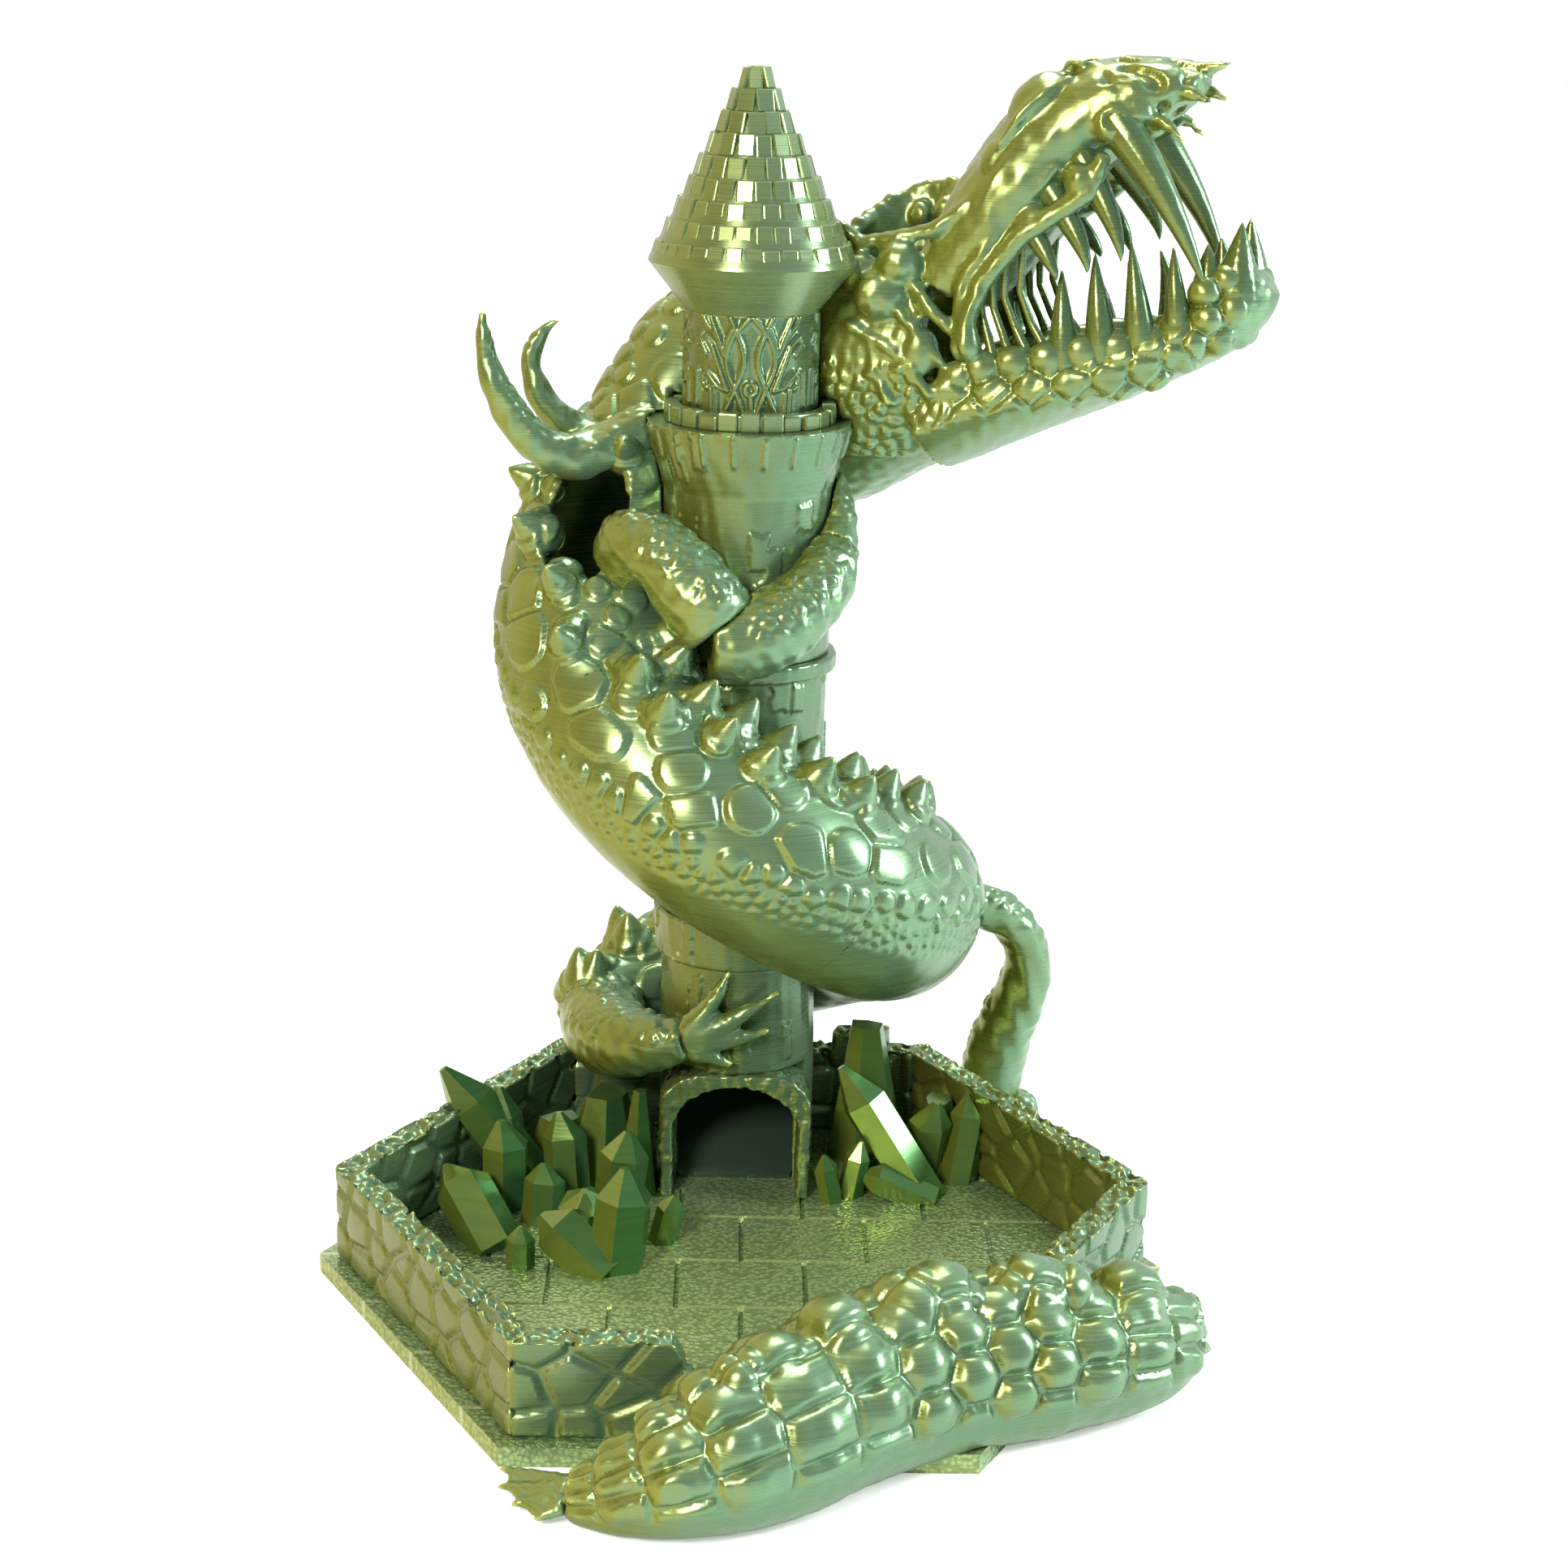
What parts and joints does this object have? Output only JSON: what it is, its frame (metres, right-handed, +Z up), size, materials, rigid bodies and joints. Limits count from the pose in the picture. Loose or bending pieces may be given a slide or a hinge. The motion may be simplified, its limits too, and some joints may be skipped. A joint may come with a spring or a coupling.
{
  "type": "dice tower",
  "caption": "Hollow dragon coiled round a castle tower on a walled hexagonal tray; dice fall through its body and roll out at the arch.",
  "frame": {"origin": "centre of the hexagonal tray's underside", "axes": "+Z up along the tower; +Y to the back, so the archway and the open side of the tray face -Y; +X to the right, the way the dragon's head points"},
  "size_m": [0.2201, 0.235, 0.2827],
  "materials": {
    "dragon_skin": "two-colour silk filament, gold on faces turned left and green on faces turned right, fine layer lines",
    "masonry": "two-colour silk filament, gold on faces turned left and green on faces turned right, fine layer lines",
    "teeth": "two-colour silk filament, smooth",
    "crystals": "two-colour silk filament, flat glossy facets"
  },
  "bodies": {
    "tray": {"base_plate": "masonry", "wall_left_front": "masonry", "wall_front": "masonry", "wall_right_front": "masonry", "wall_right_back": "masonry", "wall_back": "masonry", "wall_left_back": "masonry", "wall_corner_ruin": "masonry", "tower_base": "masonry", "exit_archway": "masonry", "exit_ramp": "masonry", "tail_root": "dragon_skin", "tail_middle": "dragon_skin", "tail_tip": "dragon_skin", "tail_fin": "dragon_skin", "crystals_left": "crystals", "crystals_right": "crystals"},
    "tower_and_dragon": {"tower_collar": "masonry", "tower_middle": "masonry", "tower_band": "masonry", "tower_upper": "masonry", "battlement_ring": "masonry", "neck_back": "dragon_skin", "shoulders": "dragon_skin", "torso_front": "dragon_skin", "torso_side": "dragon_skin", "hips": "dragon_skin", "throat": "dragon_skin", "funnel_rim": "dragon_skin", "upper_jaw": "dragon_skin", "lower_jaw": "dragon_skin", "fang_near": "teeth", "fang_far": "teeth", "upper_teeth": "teeth", "lower_teeth": "teeth", "chin_spikes": "teeth", "shoulder_horns": "dragon_skin", "foreleg_upper": "dragon_skin", "foreleg_lower": "dragon_skin", "foreleg_hand": "dragon_skin", "hind_thigh": "dragon_skin", "hind_toes": "dragon_skin", "prop_leg": "dragon_skin", "prop_foot": "dragon_skin"},
    "roof": {"carved_drum": "masonry", "roof_cone": "masonry"}
  },
  "joints": [
    {"name": "tower_lift", "type": "slide", "parent": "tray", "child": "tower_and_dragon", "axis": [0, 0, 1], "range_m": [0, 0.06]},
    {"name": "roof_lift", "type": "slide", "parent": "tower_and_dragon", "child": "roof", "axis": [0, 0, 1], "range_m": [0, 0.04]}
  ]
}
